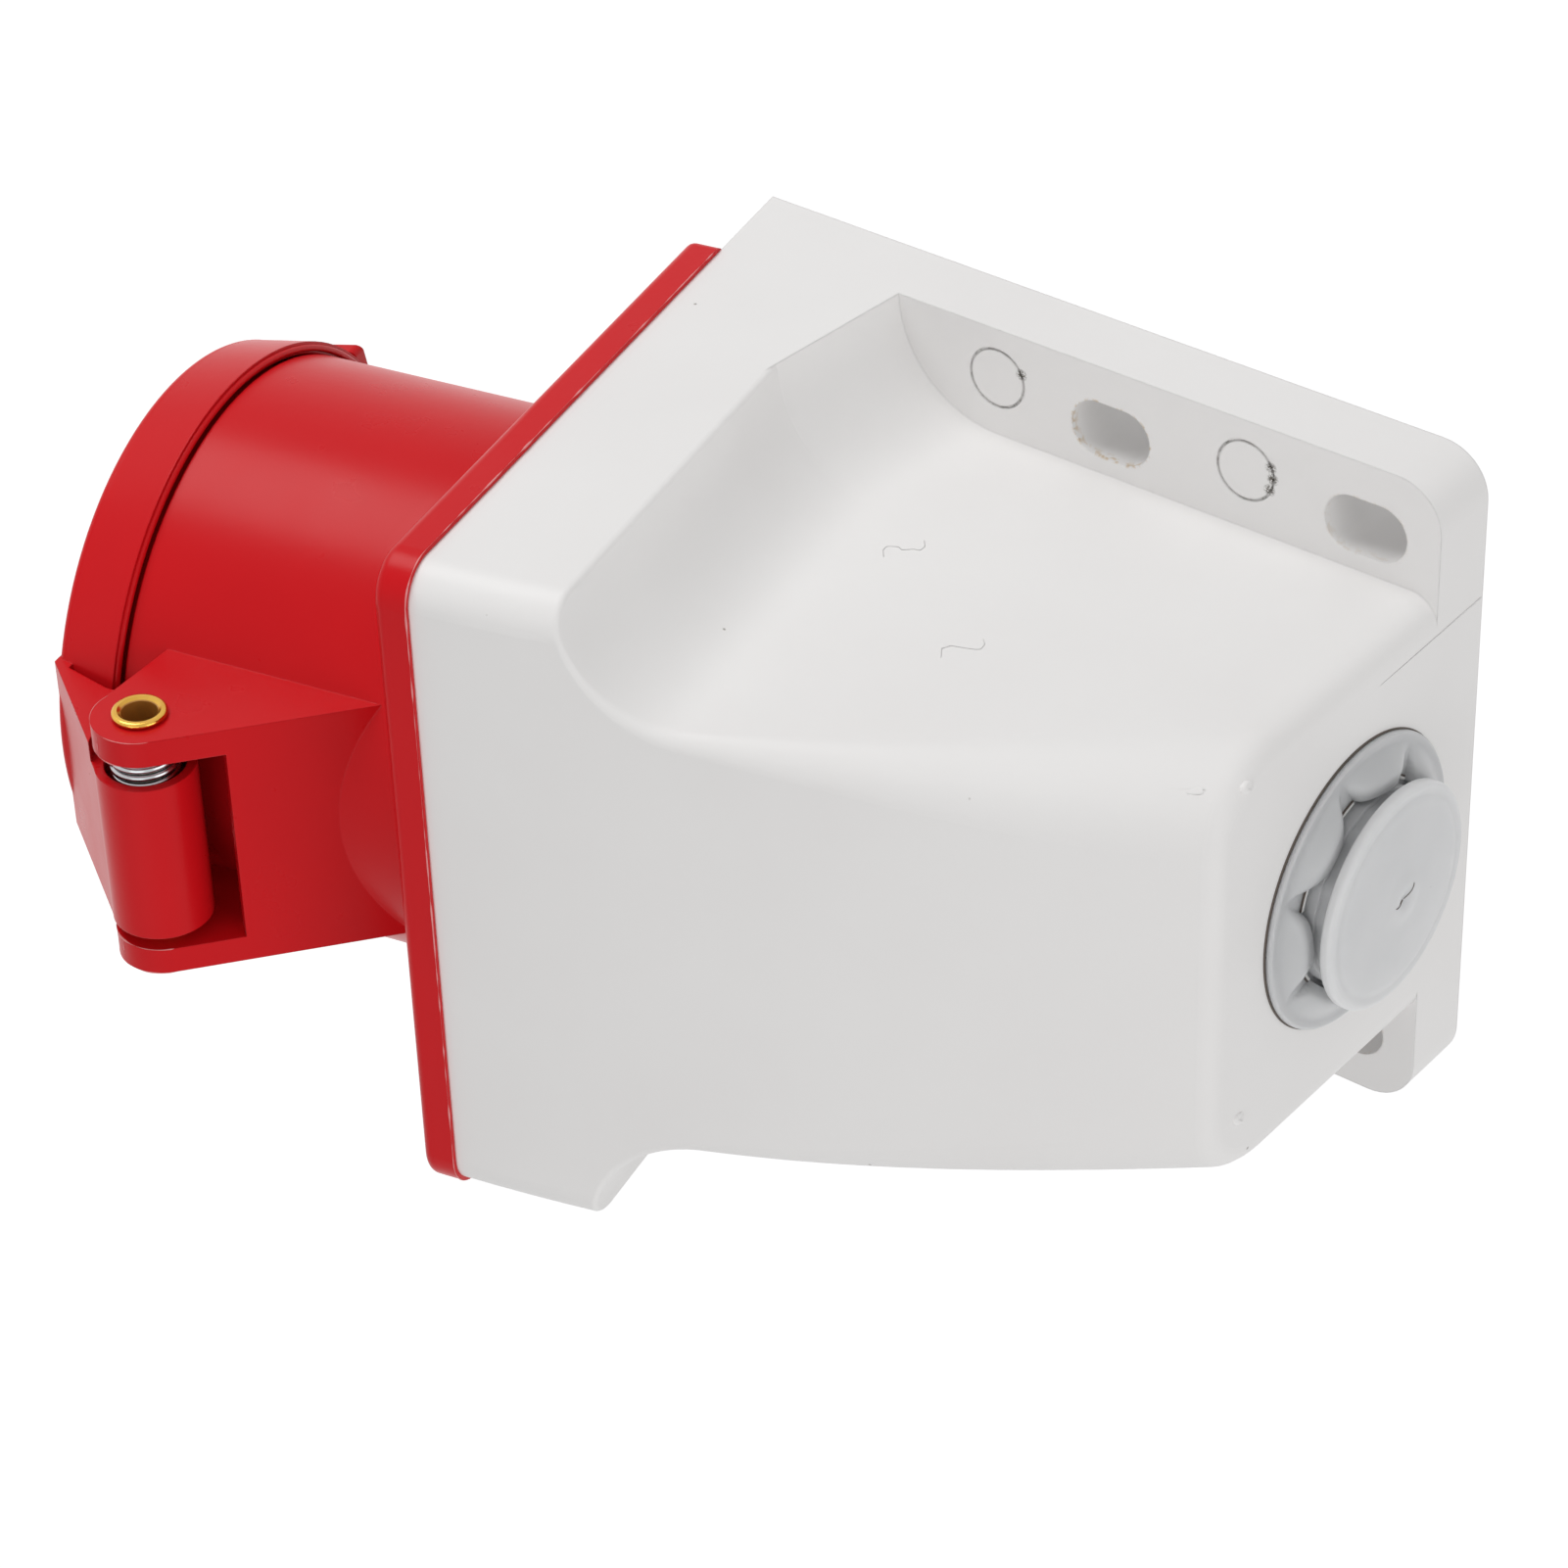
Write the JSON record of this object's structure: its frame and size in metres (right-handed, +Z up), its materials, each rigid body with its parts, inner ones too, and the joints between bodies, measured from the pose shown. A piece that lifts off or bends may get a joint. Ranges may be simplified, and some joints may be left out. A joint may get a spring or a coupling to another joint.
{
  "type": "surface mounted industrial inlet plug",
  "caption": "Wall-mounted industrial inlet: white angled housing, red flange and collar with contact pins, sprung hinged lid, cable grommet.",
  "frame": {"origin": "On the wall plane, in the middle of the four fixing slots", "axes": "+X across the wall, to the right seen from the front, +Y into the wall and square to it, +Z up the wall"},
  "size_m": [0.086, 0.1009, 0.1546],
  "materials": {
    "white_moulding": "moulded polyamide, light grey white, satin",
    "red_moulding": "moulded polyamide, signal red, semi-gloss",
    "grey_moulding": "moulded polyamide, dark grey",
    "grommet_rubber": "translucent soft elastomer",
    "seal_rubber": "black elastomer",
    "rivet_brass": "polished brass",
    "contact_brass": "turned brass",
    "zinc_steel": "zinc plated steel",
    "spring_steel": "bright drawn spring steel"
  },
  "bodies": {
    "base": {"housing": "white_moulding", "cable_grommet": "grommet_rubber", "flange_collar": "red_moulding", "flange_gasket": "seal_rubber", "flange_screw_1": "zinc_steel", "flange_screw_2": "zinc_steel", "flange_screw_3": "zinc_steel", "flange_screw_4": "zinc_steel", "contact_carrier": "grey_moulding", "terminal_block": "grey_moulding", "centre_screw": "zinc_steel", "pin_earth": "contact_brass", "pin_neutral": "contact_brass", "pin_l3": "contact_brass", "pin_l2": "contact_brass", "pin_l1": "contact_brass", "terminal_screw_earth": "zinc_steel", "terminal_screw_neutral": "zinc_steel", "terminal_screw_l3": "zinc_steel", "terminal_screw_l2": "zinc_steel", "terminal_screw_l1": "zinc_steel", "carrier_screw_1": "zinc_steel", "carrier_screw_2": "zinc_steel", "hinge_rivet": "rivet_brass", "lid_spring": "spring_steel"},
    "lid": {"lid": "red_moulding", "lid_seal": "seal_rubber"}
  },
  "joints": [
    {"name": "lid_hinge", "type": "hinge", "parent": "base", "child": "lid", "pos_m": [0, -0.0951, -0.08831], "axis": [-1, 0, 0], "range_deg": [0, 135], "stiffness_Nm_per_rad": 0.04, "springref_deg": -143.24}
  ]
}
